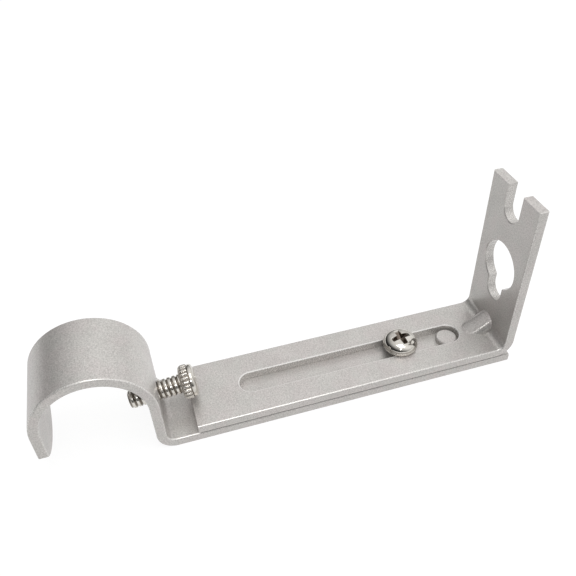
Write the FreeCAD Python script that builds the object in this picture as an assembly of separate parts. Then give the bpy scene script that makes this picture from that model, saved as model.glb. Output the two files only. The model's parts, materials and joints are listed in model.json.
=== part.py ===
import FreeCAD, Part
import math
import os

from FreeCAD import Rotation, Vector

# Adjustable bracket for a curtain pole: two bent steel strips that slide on each other,
# a clamp screw that locks them, and a knurled thumb screw that holds the pole in the hook.
# It is drawn as it stands on a table, with the hook's mouth down.
# X runs along the pole, the wall is the plane y = 0 on the +Y side, and Z points up.
# The origin is the centre of the keyhole's round part, on the wall face of the plate.
# All lengths are in millimetres and all angles in degrees.

# Steel strip, the same for both arms
strip_width = 20.8
strip_thick = 2.5
strip_edge = 0.5         # rounding of the strip's long edges
bend_inner = 2.3         # inside radius of the square bends
punch_edge = 0.2         # eased mouth of each punched hole

# Wall arm: the plate that stands on the wall, and the slotted leg
arm_reach = 87.2         # wall face to the leg's free end
plate_height = 44.4      # leg's upper face to the plate's top edge
keyhole_height = 21.55   # leg's upper face to the centre of the keyhole's round part
keyhole_round = 13.5     # diameter that passes over a wall screw's head
screw_slot = 6.4         # width of the keyhole's narrow end and of the notch
keyhole_drop = 8.0       # keyhole's round centre down to the centre of its narrow end
wall_screw_pitch = 25.0  # narrow end of the keyhole to the bottom of the notch, centre to centre
slot_width = 6.6
slot_wall_end = 11.2     # wall face to the near end of the long slot
slot_free_end = 13.0     # leg's free end to the far end of the long slot
gusset_width = 6.8       # pressed stiffening rib across the bend
gusset_foot = 7.2        # its reach along the leg, from the plate's inner face
gusset_rise = 4.3        # its reach up the plate, from the leg's upper face
gusset_round = 3.2       # rounding of the rib's shoulders
gusset_wall = 1.2        # metal left between the rib's side and the dent behind it
gusset_web = 2.2         # metal left between the rib's ridge and the dent behind it
dent_round = 1.8         # rounding of the dent's floor

# Hook arm: tail under the wall arm, riser, and the hook over the pole
arm_play = 0.05          # gap between the two sliding strips
tail_gap = 0.6           # wall face to the tail's end when fully retracted
riser_standoff = 7.7     # wall arm's free end to the riser when fully retracted
hook_inside = 24.7       # clear width of the hook
crown_centre = 10.3      # wall arm's upper face to the centre of the hook's half circle
limb_end = -0.5          # wall arm's upper face to the lowest point of the free limb
limb_end_radius = 16.0   # rounded end of the free limb
button_diameter = 5.8    # half-sheared guide button that runs in the slot
button_gap = 0.45        # button to the slot's wall end when fully retracted
button_height = 1.4      # how far the button stands above the tail
button_dent = 1.3        # depth of the recess that it leaves below
dent_diameter = 5.6      # width of that recess
button_bevel = 0.3

# Clamp screw: pan head with a domed top, through the slot into the tail
screw_play = 0.05        # radial gap between a shank and its hole, and under the head
clamp_place = 28.7       # wall face to the screw's axis when fully retracted
clamp_shank = 5.0
clamp_tip_bevel = 0.5
clamp_head = 9.4
clamp_rim = 0.6          # height of the bevelled edge under the head
clamp_rim_inset = 0.4
clamp_side = 1.9         # height of the head's straight side
clamp_shoulder = 2.7     # height at which the bevelled shoulder meets the domed top
clamp_shoulder_inset = 0.9
clamp_head_height = 3.4
clamp_tip_inset = 0.3    # how far the tip stays inside the tail's underside
clamp_recess_span = 5.4
clamp_recess_arm = 1.25
clamp_recess_depth = 2.3
clamp_recess_turn = 9.0

# Thumb screw: knurled head outside the riser, tip inside the hook
thumb_height = 5.2       # wall arm's upper face to the axis, at the riser's wall side
thumb_tilt = 6.0         # the head end points up by this angle
thumb_shank = 5.0
thumb_stand_off = 6.0    # riser to the head's underside
thumb_tip = 7.3          # riser's wall side to the tip
thumb_tip_bevel = 0.7
thumb_head = 8.8
thumb_grip = 2.4         # knurled length of the head
thumb_grip_bevel = 0.7   # bevel behind the knurled part
thumb_cap = 1.5          # height of the smooth cap on the knurled part
thumb_cap_inset = 0.2    # step from the knurled part in to the cap
thumb_cap_bevel = 0.8
knurl_count = 24
knurl_depth = 0.35
thumb_recess_span = 4.4
thumb_recess_arm = 1.0
thumb_recess_depth = 1.7
thumb_recess_turn = 20.0

# How far a cutter runs past the metal
clear = 5.0

# Places that follow from the sizes above
arm_top = -keyhole_height
tail_top = arm_top - strip_thick - arm_play
tail_bottom = tail_top - strip_thick
plate_top = arm_top + plate_height
narrow_centre = -keyhole_drop
notch_centre = narrow_centre + wall_screw_pitch
riser_face = -(arm_reach + riser_standoff)
crown_y = riser_face - strip_thick - hook_inside / 2
crown_z = arm_top + crown_centre
mid_radius = bend_inner + strip_thick / 2
button_y = -(slot_wall_end + button_gap + button_diameter / 2)
X_AXIS = Vector(1, 0, 0)
Y_AXIS = Vector(0, 1, 0)
Z_AXIS = Vector(0, 0, 1)
ORIGIN = Vector(0, 0, 0)


def line(start, end):
    """Straight edge between two points."""
    return Part.LineSegment(start, end).toShape()


def arc(start, middle, end):
    """Circular edge through three points."""
    return Part.Arc(start, middle, end).toShape()


def quarter(centre, start, end):
    """Quarter circle about a centre, the short way from start to end."""
    radius = (start - centre).Length
    outward = (start - centre) + (end - centre)
    outward.normalize()
    return arc(start, centre + outward * radius, end)


def rounded_outline(half_x, half_z, radius):
    """Closed outline in the XZ plane: a rectangle about the origin with rounded corners."""
    signs = [(1, 1), (-1, 1), (-1, -1), (1, -1)]
    corners = []
    for index, (sx, sz) in enumerate(signs):
        centre = Vector(sx * (half_x - radius), 0, sz * (half_z - radius))
        side = centre + Vector(sx * radius, 0, 0)
        top = centre + Vector(0, 0, sz * radius)
        ends = (side, top) if index % 2 == 0 else (top, side)
        corners.append((ends[0], centre, ends[1]))
    edges = []
    for index, (start, centre, end) in enumerate(corners):
        edges.append(quarter(centre, start, end))
        edges.append(line(end, corners[(index + 1) % len(corners)][0]))
    return Part.Wire(edges)


def bend_strip(start, heading, steps):
    """Strip with rounded long edges, made of straight runs and turns about X.

    Each step is ("run", length) or ("turn", angle, radius at the strip's middle).
    """
    spot = Vector(start)
    along = Vector(heading)
    section = Part.Face(rounded_outline(strip_width / 2, strip_thick / 2, strip_edge))
    section.translate(spot)
    pieces = []
    for kind, amount, *radius in steps:
        if kind == "run":
            travel = along * amount
            pieces.append(section.extrude(travel))
            section.translate(travel)
            spot = spot + travel
        else:
            side = X_AXIS.cross(along) * math.copysign(radius[0], amount)
            centre = spot + side
            pieces.append(section.revolve(centre, X_AXIS, amount))
            section.rotate(centre, X_AXIS, amount)
            turn = Rotation(X_AXIS, amount)
            spot = centre - turn.multVec(side)
            along = turn.multVec(along)
    return pieces[0].multiFuse(pieces[1:]).removeSplitter()


def slot_outline(half_width, first, last, level):
    """Round-ended slot along Y between two end centres, at the height level."""
    edges = [
        line(Vector(half_width, first, level), Vector(half_width, last, level)),
        arc(Vector(half_width, last, level), Vector(0, last + half_width, level),
            Vector(-half_width, last, level)),
        line(Vector(-half_width, last, level), Vector(-half_width, first, level)),
        arc(Vector(-half_width, first, level), Vector(0, first - half_width, level),
            Vector(half_width, first, level)),
    ]
    return Part.Wire(edges)


def slot_punch(width, first, last):
    """Cutter for a slot through a face at z = 0, with its mouth eased on the +Z side."""
    half = width / 2
    body = Part.Face(slot_outline(half, first, last, -clear)).extrude(Z_AXIS * (2 * clear))
    mouth = Part.makeLoft([
        slot_outline(half, first, last, -punch_edge),
        slot_outline(half + 2 * punch_edge, first, last, punch_edge),
    ], True, True)
    return body.fuse(mouth)


def round_punch(diameter):
    """Cutter for a round hole through a face at z = 0, with its mouth eased on the +Z side."""
    radius = diameter / 2
    body = Part.makeCylinder(radius, 2 * clear, Vector(0, 0, -clear))
    mouth = Part.makeCone(radius, radius + 2 * punch_edge, 2 * punch_edge, Vector(0, 0, -punch_edge))
    return body.fuse(mouth)


def on_plate(cutter):
    """Turn a cutter so that it goes through the plate from its inner face."""
    cutter.rotate(ORIGIN, X_AXIS, 90)
    cutter.translate(Vector(0, -strip_thick, 0))
    return cutter


def gusset_bar(width, depth, rounding):
    """Bar that lies under the gusset's ridge line, which it touches with its upper face."""
    slope = math.degrees(math.atan2(gusset_rise, gusset_foot))
    length = math.hypot(gusset_rise, gusset_foot) + 2 * clear
    outline = rounded_outline(width / 2, depth / 2, rounding)
    bar = Part.Face(outline).extrude(Y_AXIS * length)
    bar.translate(Vector(0, -clear, -depth / 2))
    bar.rotate(ORIGIN, X_AXIS, slope)
    bar.translate(Vector(0, -strip_thick - gusset_foot, arm_top))
    return bar


def gusset_rib():
    """Raised rib inside the bend: a round-shouldered bar kept between the two legs."""
    middle = strip_thick / 2
    foot = -strip_thick - gusset_foot
    corners = [
        Vector(0, foot, arm_top),
        Vector(0, -strip_thick, arm_top + gusset_rise),
        Vector(0, -middle, arm_top + gusset_rise),
        Vector(0, -middle, arm_top - middle),
        Vector(0, foot, arm_top - middle),
    ]
    side = Part.Face(Part.makePolygon(corners + corners[:1]))
    side.translate(Vector(-gusset_width / 2, 0, 0))
    wedge = side.extrude(X_AXIS * gusset_width)
    depth = gusset_foot + gusset_rise + strip_thick
    return wedge.common(gusset_bar(gusset_width, depth, gusset_round))


def gusset_dent():
    """Cutter for the dent behind the rib, one web's thickness under its ridge."""
    slope = math.atan2(gusset_rise, gusset_foot)
    depth = gusset_foot + gusset_rise + 2 * strip_thick
    bar = gusset_bar(gusset_width - 2 * gusset_wall, depth, dent_round)
    bar.translate(Vector(0, math.sin(slope), -math.cos(slope)) * gusset_web)
    return bar


def make_wall_arm():
    """Plate and slotted leg, bent from one strip."""
    level = arm_top - strip_thick / 2
    arm = bend_strip(Vector(0, -arm_reach, level), Y_AXIS, [
        ("run", arm_reach - strip_thick / 2 - mid_radius),
        ("turn", 90, mid_radius),
        ("run", plate_top - level - mid_radius),
    ])
    arm = arm.fuse(gusset_rib()).cut(gusset_dent())

    near = -slot_wall_end - slot_width / 2
    far = -arm_reach + slot_free_end + slot_width / 2
    slot = slot_punch(slot_width, far, near)
    slot.translate(Vector(0, 0, arm_top))
    entry = on_plate(round_punch(keyhole_round))
    narrow = on_plate(slot_punch(screw_slot, narrow_centre, 0))
    notch = on_plate(slot_punch(screw_slot, notch_centre, plate_top + screw_slot))
    for cutter in (slot, entry, narrow, notch):
        arm = arm.cut(cutter)
    return arm.removeSplitter()


def thumb_frame(shape):
    """Move a shape from the thumb screw's own frame, where it lies along Z, to its place."""
    shape.rotate(ORIGIN, X_AXIS, thumb_tilt - 90)
    shape.translate(Vector(0, riser_face, arm_top + thumb_height))
    return shape


def limb_end_cutter():
    """Cutter that leaves the free limb's end as an arc across the strip."""
    low = arm_top + limb_end
    depth = strip_thick + 2 * clear
    front = crown_y - hook_inside / 2 - strip_thick - clear
    half = strip_width / 2 + clear
    block = Part.makeBox(2 * half, depth, limb_end_radius + clear,
                         Vector(-half, front, low - clear))
    disc = Part.makeCylinder(limb_end_radius, depth,
                             Vector(0, front, low + limb_end_radius), Y_AXIS)
    return block.cut(disc)


def guide_button():
    """Round button pushed up out of the tail."""
    button = Part.makeCylinder(button_diameter / 2, button_height + strip_thick / 2,
                               Vector(0, button_y, tail_top - strip_thick / 2))
    rim = [edge for edge in button.Edges
           if abs(edge.BoundBox.ZMin - button.BoundBox.ZMax) < button_bevel / 2]
    return button.makeChamfer(button_bevel, rim)


def make_hook_arm():
    """Tail, riser, hook and free limb, bent from one strip."""
    level = tail_top - strip_thick / 2
    riser_mid = riser_face - strip_thick / 2
    arm = bend_strip(Vector(0, -tail_gap, level), -Y_AXIS, [
        ("run", -tail_gap - riser_mid - mid_radius),
        ("turn", -90, mid_radius),
        ("run", crown_z - level - mid_radius),
        ("turn", 180, (hook_inside + strip_thick) / 2),
        ("run", crown_z - arm_top - limb_end),
    ])
    arm = arm.cut(limb_end_cutter())

    arm = arm.fuse(guide_button())
    dent = Part.makeCylinder(dent_diameter / 2, button_dent + clear,
                             Vector(0, button_y, tail_bottom - clear))
    tapped = Part.makeCylinder(clamp_shank / 2 + screw_play, strip_thick + 2 * clear,
                               Vector(0, -clamp_place, tail_bottom - clear))
    thumb_hole = thumb_frame(Part.makeCylinder(thumb_shank / 2 + screw_play, 2 * clear,
                                               Vector(0, 0, -clear - strip_thick / 2)))
    for cutter in (dent, tapped, thumb_hole):
        arm = arm.cut(cutter)
    return arm.removeSplitter()


def spin(outline_edges):
    """Solid of revolution about Z from a closed profile in the XZ plane."""
    face = Part.Face(Part.Wire(outline_edges))
    return face.revolve(ORIGIN, Z_AXIS, 360)


def dome(start, crown):
    """Arc in the XZ plane from a rim point to a crown on the axis, level at the crown."""
    radius = (start.x ** 2 + (crown.z - start.z) ** 2) / (2 * (crown.z - start.z))
    half_turn = math.asin(min(1.0, start.x / radius)) / 2
    middle = Vector(radius * math.sin(half_turn), 0, crown.z - radius * (1 - math.cos(half_turn)))
    return arc(start, middle, crown)


def chain(points):
    """Straight edges through a list of (radius, height) points."""
    spots = [Vector(r, 0, z) for r, z in points]
    return [line(a, b) for a, b in zip(spots, spots[1:])]


def cross_recess(span, arm_width, depth, top, turn):
    """Cutter for a cross-shaped driver recess that narrows to a blunt point."""
    bar = Part.makeBox(2 * span, arm_width, depth + clear, Vector(-span, -arm_width / 2, top - depth))
    other = bar.copy()
    other.rotate(ORIGIN, Z_AXIS, 90)
    narrow = arm_width / 2
    slope = (span / 2 - narrow) / depth
    cone = Part.makeCone(narrow, span / 2 + slope * clear, depth + clear, Vector(0, 0, top - depth))
    cross = bar.fuse(other).common(cone)
    cross.rotate(ORIGIN, Z_AXIS, turn)
    return cross


def make_clamp_screw():
    """Screw that clamps the two strips, drawn with its head's underside at z = 0."""
    shank = clamp_shank / 2
    head = clamp_head / 2
    tip = -(2 * strip_thick + arm_play + screw_play - clamp_tip_inset)
    shoulder = Vector(head - clamp_shoulder_inset, 0, clamp_shoulder)
    crown = Vector(0, 0, clamp_head_height)
    profile = chain([(0, tip), (shank - clamp_tip_bevel, tip), (shank, tip + clamp_tip_bevel), (shank, 0),
                     (head - clamp_rim_inset, 0), (head, clamp_rim), (head, clamp_side),
                     (shoulder.x, clamp_shoulder)])
    profile.append(dome(shoulder, crown))
    profile.append(line(crown, Vector(0, 0, tip)))
    screw = spin(profile)
    recess = cross_recess(clamp_recess_span, clamp_recess_arm, clamp_recess_depth,
                          clamp_head_height, clamp_recess_turn)
    screw = screw.cut(recess)
    screw.translate(Vector(0, -clamp_place, arm_top + screw_play))
    return screw


def knurl_cutter():
    """Straight V grooves all round the thumb screw's head."""
    side = knurl_depth * math.sqrt(2)
    length = thumb_grip + clear
    grooves = []
    for index in range(knurl_count):
        groove = Part.makeBox(side, side, length, Vector(-side / 2, -side / 2, 0))
        groove.rotate(ORIGIN, Z_AXIS, 45)
        groove.translate(Vector(thumb_head / 2, 0, thumb_stand_off - clear))
        groove.rotate(ORIGIN, Z_AXIS, 360.0 * index / knurl_count)
        grooves.append(groove)
    return Part.makeCompound(grooves)


def make_thumb_screw():
    """Knurled screw that presses on the pole, drawn along Z from the riser's wall side."""
    shank = thumb_shank / 2
    head = thumb_head / 2
    under = thumb_stand_off
    shoulder = under + thumb_grip
    cap = head - thumb_cap_inset
    face = shoulder + thumb_cap
    profile = chain([(0, -thumb_tip), (shank - thumb_tip_bevel, -thumb_tip),
                     (shank, thumb_tip_bevel - thumb_tip), (shank, under),
                     (head - thumb_grip_bevel, under), (head, under + thumb_grip_bevel),
                     (head, shoulder), (cap, shoulder), (cap, face - thumb_cap_bevel),
                     (cap - thumb_cap_bevel, face), (0, face), (0, -thumb_tip)])
    screw = spin(profile).cut(knurl_cutter())
    recess = cross_recess(thumb_recess_span, thumb_recess_arm, thumb_recess_depth,
                          face, thumb_recess_turn)
    return thumb_frame(screw.cut(recess))


def main():
    os.makedirs("parts", exist_ok=True)
    pieces = {
        "wall_arm": make_wall_arm(),
        "hook_arm": make_hook_arm(),
        "clamp_screw": make_clamp_screw(),
        "thumb_screw": make_thumb_screw(),
    }
    for node, shape in pieces.items():
        shape.exportStep(os.path.join("parts", node + ".step"))
        print(node, "solids", len(shape.Solids), "valid", shape.isValid(), "volume", round(shape.Volume, 2))


main()
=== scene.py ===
"""Adjustable curtain pole bracket: silver-coated steel strips with two bright plated screws.

The two strips are the frame's own solids with a fine-grained silver coating. The two screws
are remade whole, with rounder heads and with the threads that the CAD screws lack, and stand
for them. All lengths are in metres, in the frame of the CAD model: X runs along the pole, Y
into the wall and Z up. Only the screws' profile points and the camera's lens are in millimetres.
"""
import json
import math

import bpy
import numpy as np
from mathutils import Matrix, Vector


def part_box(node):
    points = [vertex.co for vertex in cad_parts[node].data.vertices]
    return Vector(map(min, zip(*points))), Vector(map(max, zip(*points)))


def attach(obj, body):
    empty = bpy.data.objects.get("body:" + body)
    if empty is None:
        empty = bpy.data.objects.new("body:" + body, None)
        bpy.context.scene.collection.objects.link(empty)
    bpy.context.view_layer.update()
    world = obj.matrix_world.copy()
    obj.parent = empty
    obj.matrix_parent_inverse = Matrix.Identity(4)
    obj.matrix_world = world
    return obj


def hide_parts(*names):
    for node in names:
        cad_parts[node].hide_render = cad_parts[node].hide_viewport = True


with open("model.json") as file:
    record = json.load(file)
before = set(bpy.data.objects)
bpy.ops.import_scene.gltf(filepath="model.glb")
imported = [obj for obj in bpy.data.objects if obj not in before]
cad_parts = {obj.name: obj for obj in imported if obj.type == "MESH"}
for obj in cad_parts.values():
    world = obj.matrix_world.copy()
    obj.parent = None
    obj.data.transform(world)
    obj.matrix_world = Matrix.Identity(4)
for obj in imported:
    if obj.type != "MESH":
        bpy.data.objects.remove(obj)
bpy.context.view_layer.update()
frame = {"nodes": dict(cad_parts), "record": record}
mm = 0.001

# Places taken from the frame
joints = {joint["name"]: joint for joint in frame["record"]["behaviour"]["joints"]}
mounts = {mount["name"]: mount for mount in frame["record"]["mounts"]}
arm_low, arm_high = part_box("wall_arm")
hook_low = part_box("hook_arm")[0]
clamp_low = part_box("clamp_screw")[0]
clamp_foot = Vector(joints["clamp_turn"]["pos_m"])
thumb_axis = -Vector(joints["thumb_travel"]["axis"])
arm_face = clamp_foot.z      # upper face of the slotted leg
half_strip = arm_high[0]
strip_thick = 2.5 * mm
strip_joint = arm_face - strip_thick    # height at which the two strips meet
floor_level = hook_low[2] - 0.02 * mm   # just under the tail, so that the two faces never mix

# Punched openings of the wall arm
keyhole = mounts["keyhole_entry"]
narrow_end = mounts["keyhole_narrow_end"]
notch = mounts["top_notch"]
slot_radius = 3.3 * mm
slot_wall_end = -14.5 * mm   # centre of the slot's round end near the wall
slot_free_end = -70.9 * mm   # and of the one near the leg's free end
plate_inside = -strip_thick  # inner face of the wall plate
above_plate = 1.0            # anywhere beyond the notch's open end
opening_wall = (0.04 * mm, 0.22 * mm)   # distance off an opening where its wall turns to face

# Clamp screw, along Z from its head's underside
clamp_shank = 2.5 * mm       # radius over the thread's crests
clamp_thread_height = 0.4 * mm
clamp_shoulder = 2.9 * mm    # radius at which the rounded shoulder meets the domed top
clamp_shoulder_height = 2.99 * mm
clamp_crown = 3.4 * mm
clamp_seat = 0.05 * mm       # gap under the head
clamp_pitch = 0.8 * mm
clamp_run_out = 0.4 * mm     # length over which the thread fades under the head
clamp_recess = dict(reach=2.75 * mm, arm=0.64 * mm, depth=2.0 * mm, turn=math.radians(9))

# Thumb screw, along its axis from the riser's face on the wall side
riser_back = 7.7 * mm        # that face lies this far beyond the wall arm's end
thumb_height = 5.2 * mm      # slotted leg's upper face to the axis there
thumb_shank = 2.5 * mm       # radius over the thread's crests
thumb_thread_height = 0.5 * mm
thumb_under = 6.0 * mm       # underside of the head
thumb_groove = 8.42 * mm     # groove between the knurl and the cap
groove_spread = 0.1 * mm     # how far the groove's painted shade reaches along the axis
groove_inner = 3.5 * mm      # radius within which there is none
thumb_face_rim = 3.1 * mm    # radius of the cap's nearly flat face
thumb_face_base = 9.84 * mm  # height of that face at its rim
thumb_face = 9.9 * mm        # and in its middle
thumb_pitch = 1.25 * mm
thumb_recess = dict(reach=2.2 * mm, arm=0.48 * mm, depth=1.7 * mm, turn=math.radians(20))
knurl_count = 24
knurl_depth = 0.30 * mm
knurl_begins = (6.1 * mm, 6.6 * mm)     # heights over which the ribs come up
knurl_ends = (8.15 * mm, 8.35 * mm)     # and go down again

# Both screws
screw_columns = 288          # points round the axis
recess_shade = (0.05 * mm, 0.6 * mm)    # depths over which a recess's painted shade comes in
recess_softness = 0.10 * mm  # rounding of a recess's upper edge
recess_steepness = 12.0      # rise of its walls over their width

# Camera, at the photograph's angle
view_azimuth = math.radians(75.124)
view_elevation = math.radians(41.083)
view_roll = math.radians(-2.511)
view_distance = 0.19927
view_centre = Vector((-32.83, -51.21, -21.55)) * mm
focal_length = 40.68         # millimetres, on a 36 mm sensor

# Parts of a screw's profile that are shaped differently
SHANK, PLAIN, GRIP, FACE = range(4)


class Field:
    """A shader value that varies over a surface. + - * / ** work on fields and plain numbers."""

    def __init__(self, nodes, socket):
        self.nodes = nodes
        self.socket = socket

    def maths(self, operation, *terms):
        return self.nodes.node("ShaderNodeMath", {"operation": operation}, dict(enumerate(terms)))

    def __add__(self, other):
        return self.maths("ADD", self, other)

    __radd__ = __add__

    def __sub__(self, other):
        return self.maths("SUBTRACT", self, other)

    def __rsub__(self, other):
        return self.maths("SUBTRACT", other, self)

    def __mul__(self, other):
        return self.maths("MULTIPLY", self, other)

    __rmul__ = __mul__

    def __pow__(self, other):
        return self.maths("POWER", self, other)

    def __abs__(self):
        return self.maths("ABSOLUTE", self)

    def at_least(self, other):
        """The larger of this value and another."""
        return self.maths("MAXIMUM", self, other)

    def at_most(self, other):
        """The smaller of this value and another."""
        return self.maths("MINIMUM", self, other)


class Nodes:
    """A node tree that is filled by calls: each call adds one node and gives its value."""

    def __init__(self, tree):
        self.tree = tree

    def node(self, kind, settings, inputs, output=0):
        """Add one node: its settings are set first, then each input gets a number or a field."""
        made = self.tree.nodes.new(kind)
        for key, value in settings.items():
            setattr(made, key, value)
        for key, value in inputs.items():
            self.feed(made.inputs[key], value)
        return Field(self, made.outputs[output])

    def feed(self, socket, value):
        """Link a field to a socket, or write a number or a colour in it."""
        if isinstance(value, Field):
            self.tree.links.new(value.socket, socket)
        else:
            socket.default_value = value

    def part(self, vector, axis):
        """One coordinate of a position: X, Y or Z."""
        return self.node("ShaderNodeSeparateXYZ", {}, {0: vector}, axis)

    def step(self, value, low, high, first=0.0, last=1.0):
        """first below low, last above high, smooth between."""
        settings = {"interpolation_type": "SMOOTHSTEP"}
        inputs = {"Value": value, "From Min": low, "From Max": high, "To Min": first, "To Max": last}
        return self.node("ShaderNodeMapRange", settings, inputs)


class Finish(Nodes):
    """A procedural material, built around one Principled surface."""

    def __init__(self, name):
        self.material = bpy.data.materials.new(name)
        self.material.use_nodes = True
        super().__init__(self.material.node_tree)
        self.surface = self.tree.nodes["Principled BSDF"]
        self.end = self.tree.nodes["Material Output"]

    def place(self):
        """Position in the piece's own frame, in metres."""
        return self.node("ShaderNodeTexCoord", {}, {}, "Object")

    def stretched(self, vector, scale):
        """A position scaled on each axis, so that a noise on it is drawn out along the smallest."""
        return self.node("ShaderNodeMapping", {}, {"Vector": vector, "Scale": scale})

    def noise(self, vector, size, detail=2.0, roughness=0.5):
        """Noise from 0 to 1 whose features are about one size across."""
        inputs = {"Vector": vector, "Scale": 1.0 / size, "Detail": detail, "Roughness": roughness}
        return self.node("ShaderNodeTexNoise", {}, inputs, "Fac")

    def attribute(self, name):
        """Value that the mesh carries at its points."""
        return self.node("ShaderNodeAttribute", {"attribute_name": name}, {}, "Fac")

    def blend(self, amount, first, second):
        """Colour that goes from first to second as amount goes from 0 to 1."""
        inputs = {0: amount, 6: first, 7: second}
        return self.node("ShaderNodeMix", {"data_type": "RGBA"}, inputs, 2)

    def bump(self, height, depth, strength=1.0):
        """Surface normal of a height from 0 to 1 that stands for a depth in metres."""
        inputs = {"Strength": strength, "Distance": depth, "Height": height}
        return self.node("ShaderNodeBump", {}, inputs)

    def set(self, **values):
        """Set the surface's sockets: a field is linked, a number or colour is written."""
        for key, value in values.items():
            self.feed(self.surface.inputs[key.replace("_", " ")], value)


def grey(red, green, blue):
    """Colour with full alpha."""
    return (red, green, blue, 1.0)


def beyond_slot(finish, across, along, low, high, radius):
    """Distance outside a round-ended slot: from the nearest point of its middle line, less its radius."""
    off = along - along.at_least(low).at_most(high)
    return (across * across + off * off) ** 0.5 - radius


def punched_walls(finish, place):
    """Two masks: the walls of the wall arm's openings, and the slot's upper edge.

    The distance outside the nearest opening in the plate, or outside the leg's slot, falls to
    nothing at the opening's wall, so the first mask comes up over the rounded edge. The second is
    for a painted highlight: it takes the top of the slot's wall and a narrow band of the face around
    it, the same all round.
    """
    x, y, z = (finish.part(place, axis) for axis in "XYZ")
    entry = beyond_slot(finish, x, z, 0.0, 0.0, keyhole["dims"]["r_mm"] * mm)
    neck = beyond_slot(finish, x, z, narrow_end["pos_m"][2], 0.0, narrow_end["dims"]["r_mm"] * mm)
    top = beyond_slot(finish, x, z, notch["pos_m"][2], above_plate, notch["dims"]["r_mm"] * mm)
    leg = beyond_slot(finish, x, y, slot_free_end, slot_wall_end, slot_radius)
    in_plate = finish.step(y, plate_inside - 1.0 * mm, plate_inside - 0.4 * mm)
    plate = finish.step(entry.at_most(neck).at_most(top), *opening_wall, 1.0, 0.0)
    walls = plate * in_plate + finish.step(leg, *opening_wall, 1.0, 0.0) * (1 - in_plate)
    near_top = finish.step(z, arm_face - 0.35 * mm, arm_face - 0.15 * mm)
    # painted highlight: a brighter band along the slot's upper edge, the same all round
    rim = finish.step(leg, 0.22 * mm, 0.34 * mm, 1.0, 0.0) * near_top * (1 - in_plate)
    return walls, rim


def pressed_rib(finish, place):
    """1 on the rib across the wall arm's bend: where the steel stands off both of its legs."""
    x, y, z = (finish.part(place, axis) for axis in "XYZ")
    off_leg = finish.step(z, arm_face + 0.1 * mm, arm_face + 0.6 * mm)
    off_plate = finish.step(y, plate_inside - 0.8 * mm, plate_inside - 0.4 * mm, 1.0, 0.0)
    return off_leg * off_plate * finish.step(abs(x), 3.3 * mm, 4.2 * mm, 1.0, 0.0)


def silver_coating(name, openings):
    """Fine-grained silver coating over steel, brighter along the strip's edges by a painted highlight.

    The tone is the sum of a fine grain and a soft cloud. The bright line on the band where the
    strip's side turns into its face is a painted highlight that also stands for edge wear. The seam
    is a dark line of painted shade for the gap where the two strips' sides meet at rest. On the wall
    arm, the walls of punched openings show lines along the thickness, the slot's edge carries a
    painted highlight too, and the pressed rib is smoother.
    """
    finish = Finish(name)
    place = finish.place()
    cloud = finish.noise(place, 7 * mm, 3.0)
    grain = finish.noise(place, 0.36 * mm, 3.0, 0.7)
    patch = finish.step(finish.noise(place, 5 * mm, 2.0), 0.35, 0.65)
    speck = finish.step(finish.noise(place, 0.17 * mm, 1.0), 0.62, 0.74)
    side = abs(finish.part(place, "X"))
    edge = finish.step(side, half_strip - 0.48 * mm, half_strip - 0.30 * mm)
    edge = edge * finish.step(side, half_strip - 0.16 * mm, half_strip - 0.04 * mm, 1.0, 0.0)
    # painted highlight, also edge wear: a brighter band where the strip's side turns into its face
    edge_wear_and_glint = edge * (0.6 + 0.6 * finish.noise(place, 2.2 * mm, 2.0))
    tone = cloud * 0.3 + finish.step(grain, 0.25, 0.75) * 0.7
    warm = finish.blend(tone, grey(0.36, 0.338, 0.322), grey(0.74, 0.70, 0.68))
    cool = finish.blend(tone, grey(0.355, 0.343, 0.325), grey(0.73, 0.71, 0.68))
    colour = finish.blend(patch, warm, cool)
    colour = finish.blend(speck * 0.25, colour, grey(0.86, 0.845, 0.82))
    colour = finish.blend(edge_wear_and_glint * 0.5, colour, grey(0.84, 0.83, 0.80))
    # painted shade: a dark line where the two strips' sides meet at rest
    off_seam = abs(finish.part(place, "Z") - strip_joint)
    seam_shade = finish.step(off_seam, 0.08 * mm, 0.26 * mm, 1.0, 0.0)
    seam_shade = seam_shade * finish.step(side, half_strip - 0.5 * mm, half_strip - 0.2 * mm)
    seam_shade = seam_shade * finish.step(finish.part(place, "Y"), arm_low[1], arm_low[1] + 0.6 * mm)
    colour = finish.blend(seam_shade * 0.8, colour, grey(0.10, 0.09, 0.085))
    relief = grain * 0.8 + finish.noise(place, 1.2 * mm, 2.0) * 0.5
    gloss = 0.29 + grain * 0.12 - edge_wear_and_glint * 0.08
    if openings:
        cut, rim = punched_walls(finish, place)
        drawn = finish.stretched(place, (1.0, 0.12, 1.0))
        lines = finish.noise(drawn, 0.34 * mm, 3.0, 0.6)
        sheared = finish.blend(lines, grey(0.42, 0.40, 0.38), grey(0.76, 0.74, 0.715))
        colour = finish.blend(cut, colour, sheared)
        # painted highlight on the slot's upper edge
        colour = finish.blend(rim * 0.7, colour, grey(0.90, 0.89, 0.87))
        relief = relief + cut * lines
        gloss = gloss - cut * 0.08 - pressed_rib(finish, place) * 0.15
    finish.set(
        Base_Color=colour,
        Metallic=0.42,
        Roughness=gloss,
        Normal=finish.bump(relief, 0.02 * mm, 0.8),
    )
    return finish.material


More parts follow.
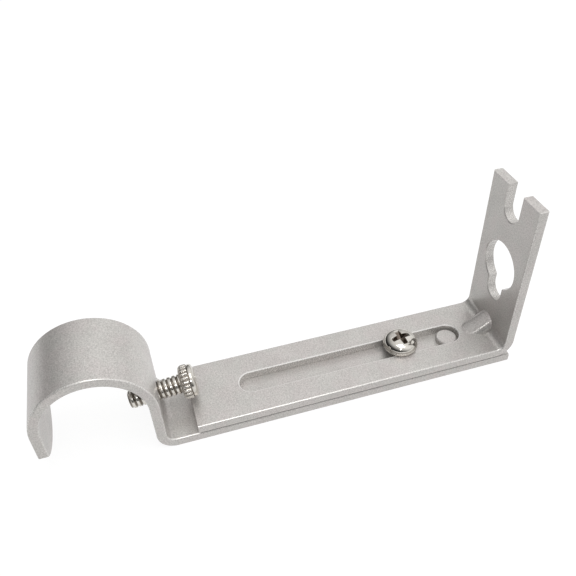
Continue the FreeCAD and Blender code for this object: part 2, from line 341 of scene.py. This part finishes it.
def bright_plate():
    """Bright, slightly warm nickel plate, with painted shade in the hollows of the screws: darker,
    browner and rougher the deeper a point lies.
    """
    finish = Finish("bright_plate")
    place = finish.place()
    patches = finish.noise(place, 1.3 * mm, 3.0, 0.6)
    fine = finish.noise(place, 0.12 * mm, 2.0)
    hollow = finish.attribute("hollow")
    colour = finish.blend(patches, grey(0.42, 0.395, 0.355), grey(0.82, 0.795, 0.745))
    # painted shade: darker and browner the deeper a point lies in a hollow
    colour = finish.blend(hollow * 0.8, colour, grey(0.17, 0.14, 0.115))
    finish.set(
        Base_Color=colour,
        Metallic=1.0,
        Roughness=0.06 + patches * 0.10 + hollow * 0.18,
        Normal=finish.bump(fine + patches, 0.006 * mm, 0.5),
    )
    return finish.material


def ease(value, low, high):
    """Smooth step of an array: 0 below low, 1 above high."""
    part = np.clip((value - low) / (high - low), 0.0, 1.0)
    return part * part * (3.0 - 2.0 * part)


def softer_of(first, second, softness):
    """The smaller of two arrays, blended over a softness, so that the edge between them is round."""
    mix = np.clip(0.5 + 0.5 * (second - first) / softness, 0.0, 1.0)
    return second + (first - second) * mix - softness * mix * (1.0 - mix)


def run(start, end, count):
    """Profile points in millimetres along a straight line, without its end."""
    share = np.linspace(0.0, 1.0, count, endpoint=False)[:, None]
    return (np.array(start) * (1.0 - share) + np.array(end) * share) * mm


def bend(start, corner, end, count):
    """Profile points along a curve that leaves start for the corner and reaches end from it.

    Each point is the start, the corner and the end weighted by (1 - t) squared,
    2 t (1 - t) and t squared, without the end itself.
    """
    t = np.linspace(0.0, 1.0, count, endpoint=False)[:, None]
    start, corner, end = (np.array(point) for point in (start, corner, end))
    return (start * (1.0 - t) ** 2 + corner * 2.0 * t * (1.0 - t) + end * t ** 2) * mm


def rows(kind, *pieces):
    """Rows of (radius, height, kind) from pieces of a profile that are shaped alike."""
    points = np.concatenate(pieces)
    return np.column_stack([points, np.full(len(points), kind)])


def cap_height(radius, rim, base, crown):
    """Height of a spherical cap of that rim radius, from base at the rim to crown in the middle."""
    rise = crown - base
    ball = (rim * rim + rise * rise) / (2.0 * rise)
    return crown - ball + np.sqrt(np.maximum(ball * ball - radius * radius, 0.0))


def cut_recess(radius, angle, surface, crown, reach, arm, depth, turn):
    """Heights of a face with a cross recess pressed in.

    The floor falls from a little under the surface at the arms' reach to the full depth in the
    middle, and steep walls rise from it as the point leaves the cross.
    """
    x = np.abs(radius * np.cos(angle - turn))
    y = np.abs(radius * np.sin(angle - turn))
    outside = np.minimum(np.maximum(x - arm, y - reach), np.maximum(y - arm, x - reach))
    floor = crown - depth * np.clip(1.3 - 1.15 * radius / reach, 0.0, 1.0)
    wall = floor + recess_steepness * np.maximum(outside, 0.0)
    return softer_of(surface, wall, recess_softness)


def thread_depth(height, angle, pitch):
    """How far a rolled thread lies under its crests, as a share of its depth.

    The thread climbs one pitch a turn: the share is 0 on a broad crest, 1 in the valley
    halfway to the next crest, and smooth between.
    """
    turn = height / pitch - angle / (2.0 * math.pi)
    off_valley = np.abs(2.0 * (turn - np.floor(turn)) - 1.0)
    return 1.0 - ease(off_valley, 0.0, 0.56)


def screw_mesh(name, profile, shape, count):
    """Closed surface of a screw: a profile of (radius, height, kind) rows carried round its axis.

    shape(radius, height, kind, angle) gives each point's final radius and height and how deep
    in a hollow it lies, so a thread, a knurl or a recess is a change over the grid of rows and
    angles.
    """
    angle = np.linspace(0.0, 2.0 * math.pi, count, endpoint=False)[None, :]
    radius, height, kind = (profile[:, column, None] + 0.0 * angle for column in range(3))
    radius, height, hollow = shape(radius, height, kind, angle + 0.0 * radius)
    grid = np.stack([radius * np.cos(angle), radius * np.sin(angle), height], axis=2)
    total = len(profile) * count
    tip = [[0.0, 0.0, grid[0, :, 2].mean()]]
    crown = [[0.0, 0.0, grid[-1, :, 2].mean()]]
    points = np.concatenate([grid.reshape(-1, 3), tip, crown])
    here = np.arange(total).reshape(-1, count)
    right = np.roll(here, -1, axis=1)
    quads = np.stack([here[:-1], right[:-1], right[1:], here[1:]], axis=2).reshape(-1, 4)
    pole = np.full(count, total)
    low = np.stack([pole, right[0], here[0]], axis=1)
    high = np.stack([pole + 1, here[-1], right[-1]], axis=1)
    mesh = bpy.data.meshes.new(name)
    mesh.from_pydata(points.tolist(), [], quads.tolist() + low.tolist() + high.tolist())
    # how deep a point lies in a hollow sets the plating's painted shade there
    depth = np.concatenate([hollow.ravel(), [hollow[0].mean(), hollow[-1].mean()]])
    mesh.attributes.new("hollow", "FLOAT", "POINT").data.foreach_set("value", depth)
    return mesh


def add_piece(mesh, place, body, node, material):
    """Put a mesh at its place, give it its finish, and let it stand for a CAD node."""
    mesh.transform(place)
    mesh.shade_smooth()
    mesh.materials.append(material)
    piece = bpy.data.objects.new(mesh.name, mesh)
    bpy.context.collection.objects.link(piece)
    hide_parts(node)
    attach(piece, body)


def clamp_screw(material):
    """Pan head with a thin rim and a cross recess, over a shank with a rolled thread."""
    tip = (clamp_low[2] - clamp_foot.z - clamp_seat) / mm
    profile = np.concatenate([
        rows(SHANK, run((0.1, tip), (2.0, tip), 8), run((2.0, tip), (2.5, tip + 0.5), 6),
             run((2.5, tip + 0.5), (2.5, 0.0), 60)),
        rows(PLAIN, run((2.5, 0.0), (4.2, 0.0), 8), bend((4.2, 0.0), (4.7, 0.05), (4.7, 0.72), 9),
             bend((4.7, 0.72), (4.72, 0.90), (4.6, 0.92), 6), run((4.6, 0.92), (4.6, 1.1), 3)),
        rows(FACE, bend((4.6, 1.1), (4.44, 2.46), (2.9, 2.99), 50),
             run((2.9, 2.99), (0.02, 2.99), 80)),
    ])

    def shape(radius, height, kind, angle):
        """Thread, where the shank is wide enough for it, and recess, cut in the domed face."""
        thread = thread_depth(height, angle, clamp_pitch) * ease(-height, 0.0, clamp_run_out)
        thread = thread * (kind == SHANK) * (radius > 0.9 * clamp_shank)
        dome = np.where(radius > clamp_shoulder, height,
                        cap_height(radius, clamp_shoulder, clamp_shoulder_height, clamp_crown))
        cut = cut_recess(radius, angle, dome, clamp_crown, **clamp_recess)
        on_face = kind == FACE
        # depth for the plating's painted shade: the recess and the thread's valleys
        hollow = np.where(on_face, 1.2 * ease(dome - cut, *recess_shade), thread)
        return radius - clamp_thread_height * thread, np.where(on_face, cut, height), hollow

    mesh = screw_mesh("clamp_screw_threaded", profile, shape, screw_columns)
    place = Matrix.Translation(clamp_foot + Vector((0, 0, clamp_seat)))
    add_piece(mesh, place, "clamp_screw", "clamp_screw", material)


def thumb_screw(material):
    """Coarse-threaded screw with a straight-knurled head and a smooth, cross-recessed cap."""
    profile = np.concatenate([
        rows(SHANK, run((0.1, -7.3), (1.8, -7.3), 8), bend((1.8, -7.3), (2.3, -7.2), (2.5, -6.6), 8),
             run((2.5, -6.6), (2.5, 6.0), 150)),
        rows(PLAIN, run((2.5, 6.0), (3.1, 6.0), 4)),
        rows(GRIP, bend((3.1, 6.0), (4.2, 6.02), (4.4, 7.0), 14), run((4.4, 7.0), (4.4, 8.1), 8),
             bend((4.4, 8.1), (4.38, 8.36), (4.0, 8.40), 6)),
        rows(PLAIN, bend((4.0, 8.40), (3.94, 8.50), (4.2, 8.56), 6), run((4.2, 8.56), (4.2, 9.0), 4),
             bend((4.2, 9.0), (4.1, 9.7), (3.1, 9.84), 12)),
        rows(FACE, run((3.1, 9.84), (2.4, 9.84), 8), run((2.4, 9.84), (0.02, 9.84), 60)),
    ])

    def shape(radius, height, kind, angle):
        """Thread on the shank, ribs on the grip, a groove with painted shade before the cap, and the
        recess.
        """
        on_shank = kind == SHANK
        thread = thread_depth(height, angle, thumb_pitch)
        run_out = ease(-height, -thumb_under, -0.9 * thumb_under)
        threaded = thumb_shank - thumb_thread_height * thread * run_out
        between = np.abs(np.cos(0.5 * knurl_count * angle))
        between = 1.0 - ease(between, 0.25, 0.95)
        grip = ease(height, *knurl_begins) * (1.0 - ease(height, *knurl_ends))
        knurl = between * grip * (kind == GRIP)
        dome = cap_height(radius, thumb_face_rim, thumb_face_base, thumb_face)
        cut = cut_recess(radius, angle, dome, thumb_face, **thumb_recess)
        on_face = kind == FACE
        # depth for the plating's painted shade: thread valleys, gaps between ribs, the groove and the
        # recess
        groove = np.exp(-((height - thumb_groove) / groove_spread) ** 2) * (radius > groove_inner)
        hollow = np.where(on_shank, thread, np.maximum(knurl, groove))
        hollow = np.where(on_face, 1.2 * ease(dome - cut, *recess_shade), hollow)
        wide = np.where(on_shank, np.minimum(radius, threaded), radius - knurl_depth * knurl)
        return wide, np.where(on_face, cut, height), hollow

    mesh = screw_mesh("thumb_screw_knurled", profile, shape, screw_columns)
    riser = Vector((0.0, arm_low[1] - riser_back, arm_face + thumb_height))
    turn = Vector((0, 0, 1)).rotation_difference(thumb_axis).to_matrix().to_4x4()
    place = Matrix.Translation(riser) @ turn
    add_piece(mesh, place, "thumb_screw", "thumb_screw", material)


def coat(node, material):
    """Give a CAD solid its finish."""
    solid = frame["nodes"][node]
    solid.data.materials.clear()
    solid.data.materials.append(material)


def pale_floor():
    """Even pale floor that the camera and shiny metal see as nearly plain white.

    A plain white glow is mixed in for those rays, so the shadow stays but is faint.
    """
    finish = Finish("pale_floor")
    finish.set(Base_Color=grey(0.74, 0.74, 0.74), Roughness=0.6, Specular_IOR_Level=0.2)
    ray = finish.tree.nodes.new("ShaderNodeLightPath")
    seen = [Field(finish, ray.outputs[kind]) for kind in
            ("Is Camera Ray", "Is Glossy Ray", "Is Transmission Ray")]
    glow = finish.node("ShaderNodeEmission", {}, {"Color": grey(1.0, 1.0, 1.0), "Strength": 1.13})
    amount = (seen[0] + seen[1] + seen[2]).at_most(1.0) * 0.8
    surface = Field(finish, finish.surface.outputs[0])
    mixed = finish.node("ShaderNodeMixShader", {}, {0: amount, 1: surface, 2: glow})
    finish.feed(finish.end.inputs["Surface"], mixed)
    return finish.material


def add_floor():
    """Large flat floor that the bracket stands on."""
    half = 3.0
    corners = [(-half, -half, floor_level), (half, -half, floor_level),
               (half, half, floor_level), (-half, half, floor_level)]
    mesh = bpy.data.meshes.new("floor")
    mesh.from_pydata(corners, [], [(0, 1, 2, 3)])
    mesh.materials.append(pale_floor())
    floor = bpy.data.objects.new("floor", mesh)
    bpy.context.collection.objects.link(floor)


def add_lamp(name, place, target, size, power):
    """Soft rectangular lamp at a place, aimed at a target."""
    lamp = bpy.data.lights.new(name, "AREA")
    lamp.shape = "RECTANGLE"
    lamp.size, lamp.size_y = size
    lamp.energy = power
    holder = bpy.data.objects.new(name, lamp)
    holder.location = place
    holder.rotation_mode = "QUATERNION"
    holder.rotation_quaternion = (Vector(target) - Vector(place)).to_track_quat("-Z", "Y")
    bpy.context.collection.objects.link(holder)


def add_studio():
    """Plain soft light: a world that is brighter above and towards the wall, and a lamp overhead.

    The world's strength rises smoothly with how far a direction points up and towards +Y.
    """
    world = bpy.data.worlds.new("studio")
    bpy.context.scene.world = world
    world.use_nodes = True
    nodes = Nodes(world.node_tree)
    heading = nodes.node("ShaderNodeTexCoord", {}, {}, "Generated")
    bright_side = nodes.part(heading, "Y") * 0.5 + nodes.part(heading, "Z") * 0.77
    background = world.node_tree.nodes["Background"]
    background.inputs["Color"].default_value = grey(1.0, 1.0, 1.0)
    nodes.feed(background.inputs["Strength"], nodes.step(bright_side, -0.12, 0.88, 0.03, 1.12))
    add_lamp("overhead", (0.14, -0.02, 0.76), view_centre, (0.34, 0.46), 1.9)
    add_lamp("front", (0.49, -0.19, 0.44), view_centre, (0.08, 0.06), 0.2)


def add_camera():
    """Camera at the photograph's angle, from azimuth, elevation, roll and distance."""
    flat = math.cos(view_elevation)
    forward = Vector((-math.sin(view_azimuth) * flat, math.cos(view_azimuth) * flat,
                      -math.sin(view_elevation)))
    level = forward.cross(Vector((0, 0, 1))).normalized()
    upright = level.cross(forward)
    right = level * math.cos(view_roll) + upright * math.sin(view_roll)
    up = right.cross(forward)
    camera = bpy.data.cameras.new("camera")
    camera.lens = focal_length
    camera.sensor_width = 36.0
    camera.clip_start = 0.01
    holder = bpy.data.objects.new("camera", camera)
    turn = Matrix((right, up, -forward)).transposed().to_4x4()
    holder.matrix_world = Matrix.Translation(view_centre - forward * view_distance) @ turn
    bpy.context.collection.objects.link(holder)
    bpy.context.scene.camera = holder


coat("wall_arm", silver_coating("silver_coating_punched", openings=True))
coat("hook_arm", silver_coating("silver_coating", openings=False))
plating = bright_plate()
clamp_screw(plating)
thumb_screw(plating)
add_floor()
add_studio()
add_camera()
bpy.context.scene.view_settings.view_transform = "Standard"
